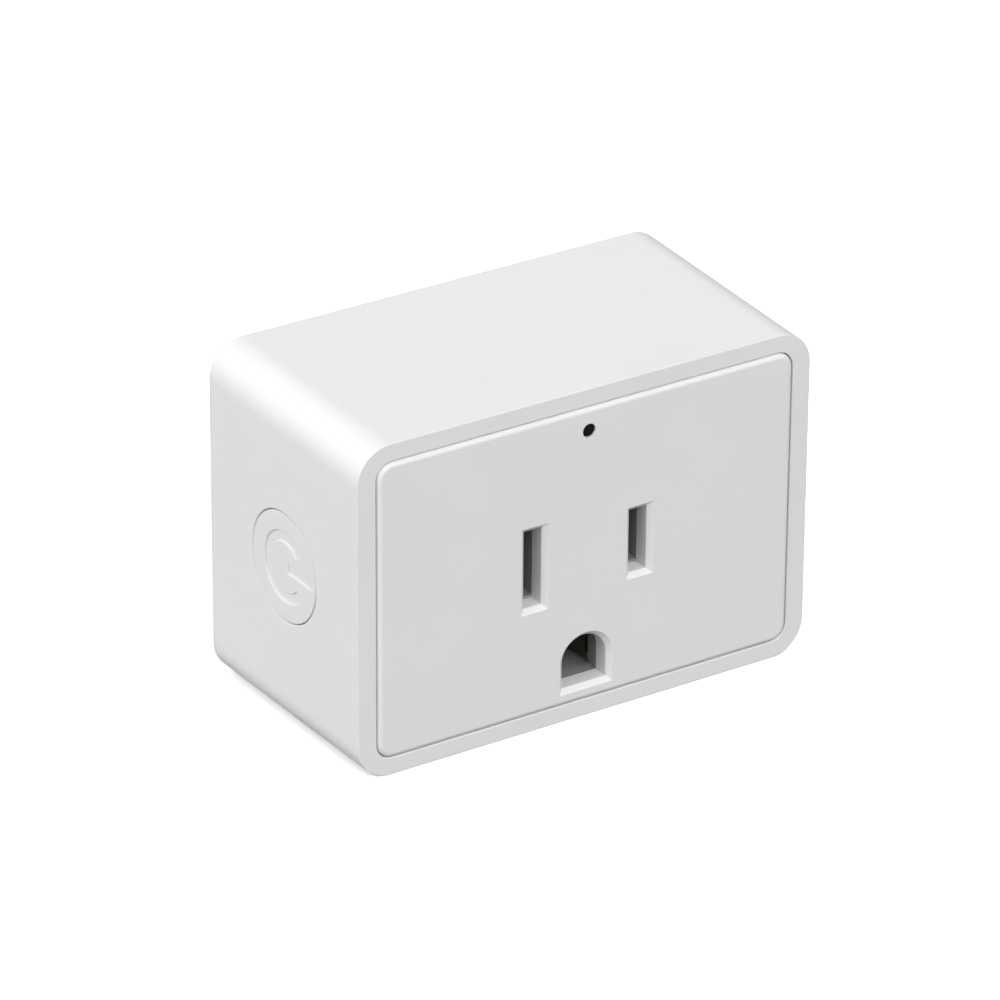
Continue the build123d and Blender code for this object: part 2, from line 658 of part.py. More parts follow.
def insulation_sheet():
    """A thin insulating sheet between the board's solder side and the rear cover."""
    with BuildPart() as sheet:
        with BuildSketch(facing(SHEET_DEPTH + SHEET_T)):
            Rectangle(BOARD_W - 0.6, BOARD_H - 0.4)
            with Locations(*POSTS):
                Rectangle(POST + 1.2, POST + 1.2, mode=Mode.SUBTRACT)
            with Locations((BUTTON_NOTCH_END + 0.4, BUTTON_HEIGHT)):
                Rectangle(BOARD_W, BUTTON_NOTCH_H + 0.8, align=(Align.MAX, Align.CENTER), mode=Mode.SUBTRACT)
            with Locations(GROUND_NOTCH[:2]):
                Rectangle(*GROUND_NOTCH[2:], mode=Mode.SUBTRACT)
            for x in (NEUTRAL_X, LINE_X):
                side = 1 if x > 0 else -1
                with Locations((x + side * (STRAP_X + STRIP_T / 2), SOCKET_HEIGHT)):
                    Rectangle(STRIP_T + 0.6, STRAP_H + 0.6, mode=Mode.SUBTRACT)
        extrude(amount=SHEET_T)
    return sheet


# ---------------------------------------------------------------- relay
def relay_case():
    """The relay's five-sided cover."""
    with BuildPart() as case:
        with BuildSketch(facing(BOARD_FRONT)):
            with Locations((RELAY_X, RELAY_Z)):
                RectangleRounded(RELAY_W, RELAY_L, 0.5)
        extrude(amount=BOARD_FRONT - RELAY_FRONT)
        with BuildSketch(facing(BOARD_FRONT)):
            with Locations((RELAY_X, RELAY_Z)):
                Rectangle(RELAY_W - 2 * RELAY_WALL, RELAY_L - 2 * RELAY_WALL)
        extrude(amount=BOARD_FRONT - RELAY_FRONT - RELAY_WALL, mode=Mode.SUBTRACT)
    return case


def relay_terminals():
    """The coil's two pins and the moving contact's flat terminal."""
    with BuildPart() as terminals:
        add_leads(LEAD_PAIRS["relay"], 13.3)
        with BuildSketch(facing(LEAD_TIP)):
            with Locations((RELAY_X, RELAY_Z + MOVING_TERMINAL_Z)):
                Rectangle(*BLADE_TERMINAL)
        extrude(amount=LEAD_TIP - 12.0)
    return terminals


def relay_fixed_contact():
    """The fixed contact: a strip through the relay's base with a round contact on it."""
    with BuildPart() as contact:
        with BuildSketch(facing(LEAD_TIP)):
            with Locations((RELAY_X, RELAY_Z + FIXED_TERMINAL_Z)):
                Rectangle(*BLADE_TERMINAL)
        extrude(amount=LEAD_TIP - CONTACT_POINT_DEPTH + CONTACT_POINT_R)
        strip_face = FIXED_TERMINAL_Z + BLADE_TERMINAL[1] / 2
        with BuildSketch(level(RELAY_Z + strip_face)):
            with Locations((RELAY_X, CONTACT_POINT_DEPTH)):
                Circle(CONTACT_POINT_R)
        extrude(amount=FIXED_FACE - strip_face)
    return contact


def relay_base(terminals, fixed_contact):
    """The relay's moulded base, with the terminals set through it."""
    with BuildPart() as base:
        with BuildSketch(facing(BOARD_FRONT)):
            with Locations((RELAY_X, RELAY_Z)):
                Rectangle(RELAY_W - 2 * RELAY_WALL - 0.1, RELAY_L - 2 * RELAY_WALL - 0.1)
        extrude(amount=BOARD_FRONT - RELAY_BASE)
        add(terminals.part, mode=Mode.SUBTRACT)
        add(fixed_contact.part, mode=Mode.SUBTRACT)
    return base


def relay_bobbin():
    """The coil former: a tube along the relay with a flange at each end."""
    low, high = COIL_ENDS
    with BuildPart() as bobbin:
        with BuildSketch(level(RELAY_Z + low - FLANGE_T)):
            with Locations((RELAY_X, COIL_DEPTH)):
                Circle(FORMER_R)
        extrude(amount=high - low + 2 * FLANGE_T)
        for start in (low - FLANGE_T, high):
            with BuildSketch(level(RELAY_Z + start)):
                with Locations((RELAY_X, COIL_DEPTH)):
                    RectangleRounded(7.6, 2 * COIL_R + 0.1, 0.6)
            extrude(amount=FLANGE_T)
        with BuildSketch(level(RELAY_Z + low - FLANGE_T)):
            with Locations((RELAY_X, COIL_DEPTH)):
                Circle(CORE_R + FIT)
        extrude(amount=high - low + 2 * FLANGE_T, mode=Mode.SUBTRACT)
    return bobbin


def relay_coil():
    """The coil's winding, as one ring between the flanges."""
    low, high = COIL_ENDS
    with BuildPart() as coil:
        with BuildSketch(level(RELAY_Z + low + 0.05)):
            with Locations((RELAY_X, COIL_DEPTH)):
                Circle(COIL_R)
                Circle(FORMER_R + FIT, mode=Mode.SUBTRACT)
        extrude(amount=high - low - 0.1)
    return coil


def relay_core():
    """The iron core with its wider pole face towards the armature."""
    low, high = COIL_ENDS
    with BuildPart() as core:
        with BuildSketch(level(RELAY_Z + low - FLANGE_T)):
            with Locations((RELAY_X, COIL_DEPTH)):
                Circle(CORE_R)
        extrude(amount=high - low + 2 * FLANGE_T)
        with BuildSketch(level(RELAY_Z + high + FLANGE_T)):
            with Locations((RELAY_X, COIL_DEPTH)):
                Circle(POLE_R)
        extrude(amount=POLE_T)
    return core


def relay_yoke():
    """The L-shaped iron frame from the core back to the armature, which rocks on its rounded end."""
    back = RELAY_Z + COIL_ENDS[0] - FLANGE_T
    pivot = RELAY_Z + PIVOT_RISE
    outer = PIVOT_DEPTH - YOKE_T / 2
    inner = PIVOT_DEPTH + YOKE_T / 2
    with BuildPart() as yoke:
        with BuildSketch(across(RELAY_X - YOKE_W / 2)):
            with BuildLine():
                Polyline((outer, pivot), (outer, back - YOKE_T), (YOKE_FOOT_END, back - YOKE_T),
                         (YOKE_FOOT_END, back), (inner, back), (inner, pivot))
                CenterArc((PIVOT_DEPTH, pivot), YOKE_T / 2, 0, 180)
            make_face()
        extrude(amount=YOKE_W)
    return yoke


def relay_armature():
    """The hinged iron plate that the coil pulls against the pole face."""
    start, end = ARMATURE_DEPTHS
    with BuildPart() as armature:
        with BuildSketch(level(RELAY_Z + ARMATURE_FACE)):
            with Locations((RELAY_X, (start + end) / 2)):
                Rectangle(ARMATURE_W, end - start)
        extrude(amount=ARMATURE_T)
        chamfer(armature.edges().filter_by(Axis.X).group_by(Axis.Z)[-1], 0.2)
    return armature


def relay_contact_spring():
    """The leaf on the armature with the moving contact at its free end."""
    leaf = RELAY_Z + ARMATURE_FACE + ARMATURE_T
    start, end = LEAF_DEPTHS
    with BuildPart() as spring:
        with BuildSketch(level(leaf)):
            with Locations((RELAY_X, (start + end) / 2)):
                Rectangle(BLADE_TERMINAL[0], end - start)
        extrude(amount=LEAF_T)
        with BuildSketch(level(leaf)):
            with Locations((RELAY_X, CONTACT_POINT_DEPTH)):
                Circle(CONTACT_POINT_R)
        extrude(amount=RELAY_Z + FIXED_FACE + CONTACT_TRAVEL - leaf)
    return spring


# ---------------------------------------------------------------- board components
def bulk_capacitor(key):
    """An electrolytic can with its crimped groove, standing on the board."""
    x, z = CAPACITORS[key]
    top = BOARD_FRONT - CAPACITOR_L
    with BuildPart() as can:
        with BuildSketch(facing(BOARD_FRONT)):
            with Locations((x, z)):
                Circle(CAPACITOR_R)
        extrude(amount=CAPACITOR_L)
        fillet(can.edges().filter_by(GeomType.CIRCLE).sort_by(Axis.Y)[0], 0.4)
        with BuildSketch(facing(BOARD_FRONT - 1.3)):
            with Locations((x, z)):
                Circle(CAPACITOR_R + 0.1)
                Circle(CAPACITOR_R - 0.3, mode=Mode.SUBTRACT)
        extrude(amount=0.7, mode=Mode.SUBTRACT)
        with BuildSketch(facing(top)):
            with Locations((x, z)):
                Rectangle(4.2, 0.25)
                Rectangle(0.25, 4.2)
        extrude(amount=-0.2, mode=Mode.SUBTRACT)
        add_leads(LEAD_PAIRS[f"capacitor_{key}"], BOARD_FRONT - 1)
    finish(can, f"bulk_capacitor_{key}")


def choke_core():
    """The choke's ferrite drum."""
    x, z = CHOKE
    with BuildPart() as drum:
        for depth, radius, thick in ((BOARD_FRONT, CHOKE_R, 1.2), (BOARD_FRONT - 1.2, 1.5, CHOKE_L - 2.4),
                                     (BOARD_FRONT + 1.2 - CHOKE_L, CHOKE_R, 1.2)):
            with BuildSketch(facing(depth)):
                with Locations((x, z)):
                    Circle(radius)
            extrude(amount=thick)
        add_leads(LEAD_PAIRS["choke"], BOARD_FRONT - 1)
    return drum


def choke_winding():
    """The choke's copper winding, as one ring."""
    x, z = CHOKE
    with BuildPart() as winding:
        with BuildSketch(facing(BOARD_FRONT - 1.25)):
            with Locations((x, z)):
                Circle(CHOKE_R - 0.35)
                Circle(1.5 + FIT, mode=Mode.SUBTRACT)
        extrude(amount=CHOKE_L - 2.5)
    return winding


def film_capacitor():
    """The box-shaped film capacitor across the mains."""
    x, z = FILM
    width, height, deep = FILM_SIZE
    with BuildPart() as box:
        with BuildSketch(facing(BOARD_FRONT)):
            with Locations((x, z)):
                Rectangle(width, height)
        extrude(amount=deep)
        fillet(box.faces().sort_by(Axis.Y)[0].edges(), 0.4)
        add_leads(LEAD_PAIRS["film"], BOARD_FRONT - 1)
    return box


def varistor():
    """The surge varistor: a lens-like coated disc on edge."""
    x, z = VARISTOR
    depth = BOARD_FRONT - VARISTOR_R - 1.2
    with BuildPart() as disc:
        with BuildSketch(across(x - VARISTOR_T / 2)):
            with Locations((depth, z)):
                Circle(VARISTOR_R)
        extrude(amount=VARISTOR_T)
        fillet(disc.edges().filter_by(GeomType.CIRCLE), 1.1)
        add_leads(LEAD_PAIRS["varistor"], depth + 1)
    return disc


def fuse_resistor():
    """The fusible resistor: a waisted body on end, with its far lead bent back to the board."""
    x, z = RESISTOR
    bottom = BOARD_FRONT - 1.0
    cap = 1.6
    with BuildPart() as resistor:
        for depth, radius, thick in ((bottom, RESISTOR_R, cap),
                                     (bottom - cap, RESISTOR_R - 0.25, RESISTOR_L - 2 * cap),
                                     (bottom + cap - RESISTOR_L, RESISTOR_R, cap)):
            with BuildSketch(facing(depth)):
                with Locations((x, z)):
                    Circle(radius)
            extrude(amount=thick)
        circles = resistor.edges().filter_by(GeomType.CIRCLE)
        fillet(circles.filter_by(lambda edge: edge.radius > RESISTOR_R - 0.01), 0.2)
        top = bottom - RESISTOR_L
        with BuildLine(across(x)):
            far = LEAD_PAIRS["resistor"][1][1]
            points = [(top + 0.3, z), (top - 1.2, z), (top - 1.2, far), (LEAD_TIP, far)]
            wire = FilletPolyline(*points, radius=1.0)
        with BuildSketch(Plane(wire @ 0, z_dir=wire % 0)):
            Circle(LEAD_R)
        sweep()
        add_leads([(x, z)], bottom - 0.5)
    return resistor


def bridge_rectifier():
    """The bridge rectifier, with four gull-wing legs on the board."""
    x, z = RECTIFIER
    width, height, deep = RECTIFIER_SIZE
    with BuildPart() as chip:
        with BuildSketch(facing(BOARD_FRONT - 0.15)):
            with Locations((x, z)):
                Rectangle(width, height)
        extrude(amount=deep)
        chamfer(chip.faces().sort_by(Axis.Y)[0].edges(), 0.25)
        with BuildSketch(facing(BOARD_FRONT)):
            with Locations((x, z)):
                with GridLocations(width - 0.2, height - 1.6, 2, 2):
                    Rectangle(1.6, 0.8)
        extrude(amount=0.3)
    return chip


def supply_chip():
    """The power-supply chip, with a row of legs on each side."""
    x, z = CHIP
    width, height, deep = CHIP_SIZE
    with BuildPart() as chip:
        with BuildSketch(facing(BOARD_FRONT - 0.15)):
            with Locations((x, z)):
                Rectangle(width, height)
        extrude(amount=deep)
        chamfer(chip.faces().sort_by(Axis.Y)[0].edges(), 0.2)
        with BuildSketch(facing(BOARD_FRONT)):
            with Locations((x, z)):
                with GridLocations(width + 0.2, 1.2, 2, 4):
                    Rectangle(0.6, 0.42)
        extrude(amount=0.25)
    return chip


def wifi_board():
    """The wireless module's small board, standing on the main board with its antenna towards the face."""
    with BuildPart() as board:
        with BuildSketch(level(WIFI_HEIGHT)):
            with Locations((WIFI_X, (WIFI_FRONT + BOARD_FRONT) / 2)):
                Rectangle(WIFI_W, BOARD_FRONT - WIFI_FRONT)
            with Locations((WIFI_X, (BOARD_FRONT + LEAD_TIP - 0.4) / 2)):
                Rectangle(WIFI_TAB_W, LEAD_TIP - 0.4 - BOARD_FRONT)
        extrude(amount=WIFI_T)
    return board


def wifi_shield():
    """The module's stamped metal can."""
    with BuildPart() as can:
        with BuildSketch(level(WIFI_HEIGHT + WIFI_T)):
            with Locations((WIFI_X, SHIELD_DEPTH)):
                RectangleRounded(WIFI_W - 2.4, SHIELD_L, 0.5)
        extrude(amount=SHIELD_H)
        fillet(can.faces().sort_by(Axis.Z)[-1].edges(), 0.25)
        with BuildSketch(level(WIFI_HEIGHT + WIFI_T)):
            with Locations((WIFI_X, SHIELD_DEPTH)):
                Rectangle(WIFI_W - 2.4 - 2 * SHIELD_T, SHIELD_L - 2 * SHIELD_T)
        extrude(amount=SHIELD_H - SHIELD_T, mode=Mode.SUBTRACT)
    return can


def status_led():
    """The round-nosed status light on the board."""
    with BuildPart() as led:
        with BuildSketch(level(STATUS_HEIGHT)):
            with BuildLine():
                dome = LED_TIP + LED_R
                Polyline((0, BOARD_FRONT), (LED_R + 0.3, BOARD_FRONT), (LED_R + 0.3, BOARD_FRONT - 0.9),
                         (LED_R, BOARD_FRONT - 0.9), (LED_R, dome))
                RadiusArc((LED_R, dome), (0, LED_TIP), LED_R)
                Line((0, LED_TIP), (0, BOARD_FRONT))
            make_face()
        revolve(axis=Axis((0, FRONT_Y, MIDDLE_Z + STATUS_HEIGHT), (0, 1, 0)))
        add_leads(LEAD_PAIRS["led"], BOARD_FRONT - 0.5)
    return led


def light_guide():
    """The smoked rod that carries the status light into the hole in the front cover."""
    with BuildPart() as guide:
        with BuildSketch(facing(FRONT_COVER_T + 1)):
            with Locations((0, STATUS_HEIGHT)):
                Circle(STATUS_HOLE_R - FIT)
        extrude(amount=FRONT_COVER_T + 1 + COVER_PROUD - GUIDE_SUNK)
        fillet(guide.edges().filter_by(GeomType.CIRCLE).sort_by(Axis.Y)[0], 0.15)
        with BuildSketch(facing(GUIDE_END)):
            with Locations((0, STATUS_HEIGHT)):
                Circle(GUIDE_R)
        extrude(amount=GUIDE_END - FRONT_COVER_T - 0.05)
        with BuildSketch(facing(GUIDE_END)):
            with Locations((0, STATUS_HEIGHT)):
                Circle(GUIDE_R + 0.5)
        extrude(amount=1.0)
    return guide


# ---------------------------------------------------------------- button
def switch_body():
    """The push switch behind the button: a square body with a hollow for its dome."""
    with BuildPart() as body:
        with BuildSketch(across(SWITCH_FACE_X)):
            with Locations((BUTTON_DEPTH, BUTTON_HEIGHT)):
                RectangleRounded(SWITCH_SIZE, SWITCH_SIZE, 0.3)
        extrude(amount=SWITCH_BACK_X - SWITCH_FACE_X)
        with BuildSketch(across(SWITCH_FACE_X)):
            with Locations((BUTTON_DEPTH, BUTTON_HEIGHT)):
                Circle(PLUNGER_R + 0.1)
        extrude(amount=1.0, mode=Mode.SUBTRACT)
        with BuildSketch(across(SWITCH_FACE_X + DOME_ROOM_START)):
            with Locations((BUTTON_DEPTH, BUTTON_HEIGHT)):
                Circle(DOME_ROOM_R)
        extrude(amount=DOME_ROOM_END - DOME_ROOM_START, mode=Mode.SUBTRACT)
        add_leads(LEAD_PAIRS["switch"], BUTTON_DEPTH + SWITCH_SIZE / 2 - 0.5)
    return body


def switch_dome():
    """The snap dome that the plunger presses."""
    ball_r = (DOME_SPAN ** 2 + DOME_RISE ** 2) / (2 * DOME_RISE)
    floor_x = SWITCH_FACE_X + DOME_ROOM_END
    with BuildPart() as dome:
        with Locations((floor_x - DOME_RISE + ball_r, FRONT_Y + BUTTON_DEPTH, MIDDLE_Z + BUTTON_HEIGHT)):
            Sphere(ball_r)
            Sphere(ball_r - DOME_T, mode=Mode.SUBTRACT)
        split(bisect_by=Plane.YZ.offset(floor_x), keep=Keep.BOTTOM)
    return dome


def switch_plunger():
    """The switch's plunger, with a head that keeps it in the body."""
    with BuildPart() as plunger:
        with BuildSketch(across(PLUNGER_TIP_X)):
            with Locations((BUTTON_DEPTH, BUTTON_HEIGHT)):
                Circle(PLUNGER_R)
        extrude(amount=PLUNGER_END_X - PLUNGER_TIP_X)
        with BuildSketch(across(SWITCH_FACE_X + 0.35)):
            with Locations((BUTTON_DEPTH, BUTTON_HEIGHT)):
                Circle(PLUNGER_R + 0.5)
        extrude(amount=0.5)
        chamfer(plunger.faces().sort_by(Axis.X)[0].edges(), 0.15)
    return plunger


def button_symbol():
    """The power symbol turned on its side: a ring open towards the outlet face, and a bar."""
    reach = 2 * SYMBOL_R
    rise = reach * tan(radians(SYMBOL_MOUTH))
    with BuildSketch() as symbol:
        with Locations((SYMBOL_SHIFT, 0)):
            Circle(SYMBOL_R)
            Circle(SYMBOL_R - SYMBOL_STROKE, mode=Mode.SUBTRACT)
        with BuildLine():
            Polyline((SYMBOL_SHIFT, 0), (-reach, rise), (-reach, -rise), close=True)
        make_face(mode=Mode.SUBTRACT)
        with Locations((BAR_START, BAR_RISE)):
            Rectangle(BAR_START - BAR_END, SYMBOL_STROKE, align=(Align.MAX, Align.CENTER))
    return symbol.sketch


def button_cap():
    """The round button: a cup with a retaining flange, ribs, and a stem that meets the switch."""
    with BuildPart() as cap:
        with BuildSketch(inward(0)):
            Circle(BUTTON_R)
        extrude(amount=FLANGE_START)
        fillet(cap.faces().sort_by(Axis.X)[0].edges(), BUTTON_ROUND)
        with BuildSketch(inward(FLANGE_START)):
            Circle(BUTTON_R + 0.9)
        extrude(amount=0.7)
        with BuildSketch(inward(CAP_T)):
            Circle(BUTTON_R - 0.9)
        extrude(amount=FLANGE_START, mode=Mode.SUBTRACT)
        with BuildSketch(inward(CAP_T)):
            Rectangle(2 * BUTTON_R - 1.6, 0.8)
            Rectangle(0.8, 2 * BUTTON_R - 1.6)
        extrude(amount=1.6)
        with BuildSketch(inward(CAP_T)):
            Circle(1.5)
        extrude(amount=PLUNGER_TIP_X - BUTTON_FACE_X - CAP_T - STEM_CLEARANCE)
        extrude(inward(0) * button_symbol(), amount=SYMBOL_DEEP, mode=Mode.SUBTRACT)
        face = cap.faces().filter_by(inward(0)).sort_by(Axis.X)[0]
        fillet(face.inner_wires().edges(), SYMBOL_ROUND)
    return cap


# ---------------------------------------------------------------- write every piece
terminals = relay_terminals()
fixed_contact = relay_fixed_contact()

PIECES = {
    "housing_sleeve": housing_sleeve(),
    "front_cover": front_cover(),
    "rear_cover": rear_cover(),
    "housing_screws": housing_screws(),
    "socket_carrier": socket_carrier(),
    "ground_contact": ground_contact(),
    "blade_rivets": blade_rivets(),
    "ground_pin": ground_pin(),
    "ground_strap": ground_strap(),
    "main_board": main_board(),
    "board_screws": board_screws(),
    "insulation_sheet": insulation_sheet(),
    "relay_case": relay_case(),
    "relay_terminals": terminals,
    "relay_fixed_contact": fixed_contact,
    "relay_base": relay_base(terminals, fixed_contact),
    "relay_bobbin": relay_bobbin(),
    "relay_coil": relay_coil(),
    "relay_core": relay_core(),
    "relay_yoke": relay_yoke(),
    "relay_armature": relay_armature(),
    "relay_contact_spring": relay_contact_spring(),
    "choke_core": choke_core(),
    "choke_winding": choke_winding(),
    "film_capacitor": film_capacitor(),
    "varistor": varistor(),
    "fuse_resistor": fuse_resistor(),
    "bridge_rectifier": bridge_rectifier(),
    "supply_chip": supply_chip(),
    "wifi_board": wifi_board(),
    "wifi_shield": wifi_shield(),
    "status_led": status_led(),
    "light_guide": light_guide(),
    "switch_body": switch_body(),
    "switch_dome": switch_dome(),
    "switch_plunger": switch_plunger(),
    "button_cap": button_cap(),
}
for name, builder in PIECES.items():
    finish(builder, name)
for contact_x, side_name in ((NEUTRAL_X, "neutral"), (LINE_X, "line")):
    blade_contact(contact_x, f"{side_name}_contact")
    blade(contact_x, f"{side_name}_blade")
    blade_strap(contact_x, f"{side_name}_strap")
for key in CAPACITORS:
    bulk_capacitor(key)
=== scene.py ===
import json
import math

import bpy
from mathutils import Matrix, Vector


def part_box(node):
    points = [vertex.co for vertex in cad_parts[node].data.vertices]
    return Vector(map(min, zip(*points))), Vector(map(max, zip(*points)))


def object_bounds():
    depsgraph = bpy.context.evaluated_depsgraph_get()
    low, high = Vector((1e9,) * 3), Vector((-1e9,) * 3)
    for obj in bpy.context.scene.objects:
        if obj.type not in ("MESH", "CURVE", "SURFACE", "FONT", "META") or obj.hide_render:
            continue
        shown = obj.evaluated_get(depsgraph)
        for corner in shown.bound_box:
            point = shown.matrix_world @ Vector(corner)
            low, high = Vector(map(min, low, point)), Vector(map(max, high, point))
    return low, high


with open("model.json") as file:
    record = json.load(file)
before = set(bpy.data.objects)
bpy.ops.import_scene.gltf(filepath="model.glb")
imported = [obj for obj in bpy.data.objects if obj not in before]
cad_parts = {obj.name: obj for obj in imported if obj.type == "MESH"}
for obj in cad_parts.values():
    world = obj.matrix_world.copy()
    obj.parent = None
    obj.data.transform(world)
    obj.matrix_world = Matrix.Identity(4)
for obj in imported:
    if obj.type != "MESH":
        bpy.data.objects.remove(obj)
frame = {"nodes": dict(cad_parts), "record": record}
nodes = frame["nodes"]
cad_low, cad_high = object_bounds()

MM = 0.001

# ---------------------------------------------------------------- camera and studio
# Angles in degrees. The target is measured from the middle of the sleeve's front end.
AZIMUTH, ELEVATION, ROLL = -32.67, 27.15, 0.366
LENS, SENSOR = 234.1, 36.0
DISTANCE = 0.6493
TARGET_FROM_SLEEVE = Vector((-10.45 * MM, 0.0, 9.01 * MM))

# The sleeve's draft sets the floor's slope, so that the plug rests flat on its lower side.
SIDE_DRAFT = 0.85
SLEEVE_EDGE = 0.08 * MM
FLOOR_HALF = 3.0
FLOOR_CLEAR = 0.02 * MM
# The floor's tone to the camera, and the tone by which it lights the plug from below.
FLOOR_SEEN = 1.7
FLOOR_BOUNCE = 0.18

# The sky is an even level plus soft lobes, each a direction and a strength.
AMBIENT = 0.44
LOBES = (
    ((0.0, -0.78, 0.626), 6.9),
    ((-0.966, 0.0, 0.26), 7.3),
    ((0.85, 0.37, 0.37), 0.5),
    ((0.0, 1.0, 0.12), 3.0),
)
LOBE_POWER = 20.0
# A strip light that only glossy reflections see.
STRIP_DIRECTION = (-0.437, 0.749, 0.461)
STRIP_DISTANCE = 0.6
STRIP_SIZE = (0.10, 0.22)
STRIP_POWER = 0.2


def node(tree, kind, values=None, **settings):
    made = tree.nodes.new(kind)
    for key, value in settings.items():
        setattr(made, key, value)
    for key, value in (values or {}).items():
        if isinstance(value, bpy.types.NodeSocket):
            tree.links.new(value, made.inputs[key])
        else:
            made.inputs[key].default_value = value
    return made


def math_node(tree, operation, first, second=0.0, third=0.0):
    return node(tree, "ShaderNodeMath", {0: first, 1: second, 2: third}, operation=operation).outputs[0]


def camera():
    face_low, face_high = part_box("front_cover")
    sleeve_low, sleeve_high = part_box("housing_sleeve")
    middle = sleeve_low.z + (sleeve_high.z - sleeve_low.z) / 2
    target = Vector(((face_low.x + face_high.x) / 2, sleeve_low.y, middle)) + TARGET_FROM_SLEEVE
    azimuth, elevation = math.radians(AZIMUTH), math.radians(ELEVATION)
    back = Vector((math.sin(azimuth) * math.cos(elevation), -math.cos(azimuth) * math.cos(elevation),
                   math.sin(elevation)))
    data = bpy.data.cameras.new("camera")
    data.lens, data.sensor_width = LENS, SENSOR
    data.clip_start, data.clip_end = 0.01, 20.0
    eye = bpy.data.objects.new("camera", data)
    eye.location = target + back * DISTANCE
    turn = (-back).to_track_quat("-Z", "Y") @ Matrix.Rotation(math.radians(ROLL), 3, "Z").to_quaternion()
    eye.rotation_mode = "QUATERNION"
    eye.rotation_quaternion = turn
    bpy.context.scene.collection.objects.link(eye)
    bpy.context.scene.camera = eye


def studio():
    world = bpy.data.worlds.new("studio")
    bpy.context.scene.world = world
    world.use_nodes = True
    tree = world.node_tree
    tree.nodes.clear()
    direction = node(tree, "ShaderNodeTexCoord").outputs["Generated"]
    level = AMBIENT
    for aim, strength in LOBES:
        unit = tuple(Vector(aim).normalized())
        facing = node(tree, "ShaderNodeVectorMath", {0: direction, 1: unit}, operation="DOT_PRODUCT")
        lobe = math_node(tree, "POWER", math_node(tree, "MAXIMUM", facing.outputs["Value"], 0.0), LOBE_POWER)
        level = math_node(tree, "MULTIPLY_ADD", lobe, strength, level)
    shade = node(tree, "ShaderNodeBackground", {"Color": (1, 1, 1, 1), "Strength": level})
    seen = node(tree, "ShaderNodeBackground", {"Color": (1, 1, 1, 1), "Strength": 1.0})
    ray = node(tree, "ShaderNodeLightPath").outputs["Is Camera Ray"]
    mix = node(tree, "ShaderNodeMixShader", {0: ray, 1: shade.outputs[0], 2: seen.outputs[0]})
    node(tree, "ShaderNodeOutputWorld", {"Surface": mix.outputs[0]})

    strip = bpy.data.lights.new("strip", "AREA")
    strip.shape = "RECTANGLE"
    strip.size, strip.size_y = STRIP_SIZE
    strip.energy = STRIP_POWER
    lamp = bpy.data.objects.new("strip", strip)
    aim = Vector(STRIP_DIRECTION).normalized()
    lamp.location = (cad_low + cad_high) / 2 + aim * STRIP_DISTANCE
    lamp.rotation_mode = "QUATERNION"
    lamp.rotation_quaternion = aim.to_track_quat("Z", "Y")
    lamp.visible_diffuse = False
    bpy.context.scene.collection.objects.link(lamp)
    bpy.context.scene.view_settings.view_transform = "Standard"


def floor():
    """The plane of the sleeve's lower side, which the plug rests on."""
    low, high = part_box("housing_sleeve")
    slope = math.tan(math.radians(SIDE_DRAFT))
    middle = (low.y + high.y) / 2
    height = (high.y - SLEEVE_EDGE - middle) * slope - FLOOR_CLEAR
    corners = ((-FLOOR_HALF, -FLOOR_HALF), (FLOOR_HALF, -FLOOR_HALF),
               (FLOOR_HALF, FLOOR_HALF), (-FLOOR_HALF, FLOOR_HALF))
    mesh = bpy.data.meshes.new("floor")
    mesh.from_pydata([(x, y, height - (y - middle) * slope) for x, y in corners], [], [(0, 1, 2, 3)])
    obj = bpy.data.objects.new("floor", mesh)
    bpy.context.scene.collection.objects.link(obj)
    material = bpy.data.materials.new("floor_white")
    material.use_nodes = True
    tree = material.node_tree
    tree.nodes.clear()
    ray = node(tree, "ShaderNodeLightPath").outputs["Is Camera Ray"]
    tone = node(tree, "ShaderNodeMapRange", {0: ray, 3: FLOOR_BOUNCE, 4: FLOOR_SEEN}).outputs[0]
    diffuse = node(tree, "ShaderNodeBsdfDiffuse", {"Color": tone})
    node(tree, "ShaderNodeOutputMaterial", {"Surface": diffuse.outputs[0]})
    mesh.materials.append(material)


# ---------------------------------------------------------------- materials
WHITE = (0.80, 0.80, 0.80)
TIN = (0.62, 0.61, 0.58)
BOARD_FACE_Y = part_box("main_board")[0].y
LEAD_LAP = 0.3 * MM
# Radians per metre, for one turn of wire every 0.15 mm.
WIRE_TURNS = 20944.0
# The can's stripe: where it lies across X, the spacing of the two cans' stripes, and half its width.
STRIPE_X, STRIPE_SPACING, STRIPE_HALF = -2.6 * MM, 3.35 * MM, 0.55 * MM
CAN_CROWN = 0.35 * MM
# The resistor's bands: distance behind its front end in millimetres, and colour.
BANDS = ((3.0, (0.30, 0.10, 0.03)), (4.3, (0.02, 0.02, 0.02)), (5.6, (0.45, 0.03, 0.02)))
BAND_HALF = 0.35 * MM


def shader(name):
    """A new material's empty node tree, with its object-space position."""
    material = bpy.data.materials.new(name)
    material.use_nodes = True
    tree = material.node_tree
    tree.nodes.clear()
    return material, tree, node(tree, "ShaderNodeTexCoord").outputs["Object"]


def rgba(colour, gain=1.0):
    return tuple(min(1.0, c * gain) for c in colour) + (1.0,)


def blend(tree, factor, first, second):
    """Mix two colours, each a tuple or a socket."""
    return node(tree, "ShaderNodeMix", {0: factor, 6: first, 7: second}, data_type="RGBA").outputs[2]


def noise(tree, place, scale, detail=2.0):
    values = {"Vector": place, "Scale": scale, "Detail": detail}
    return node(tree, "ShaderNodeTexNoise", values).outputs["Fac"]


def ramp(tree, value, low, high, start, end):
    return node(tree, "ShaderNodeMapRange", {0: value, 1: low, 2: high, 3: start, 4: end}).outputs[0]


def bumped(tree, height, strength, depth):
    values = {"Height": height, "Strength": strength, "Distance": depth * MM}
    return node(tree, "ShaderNodeBump", values).outputs[0]


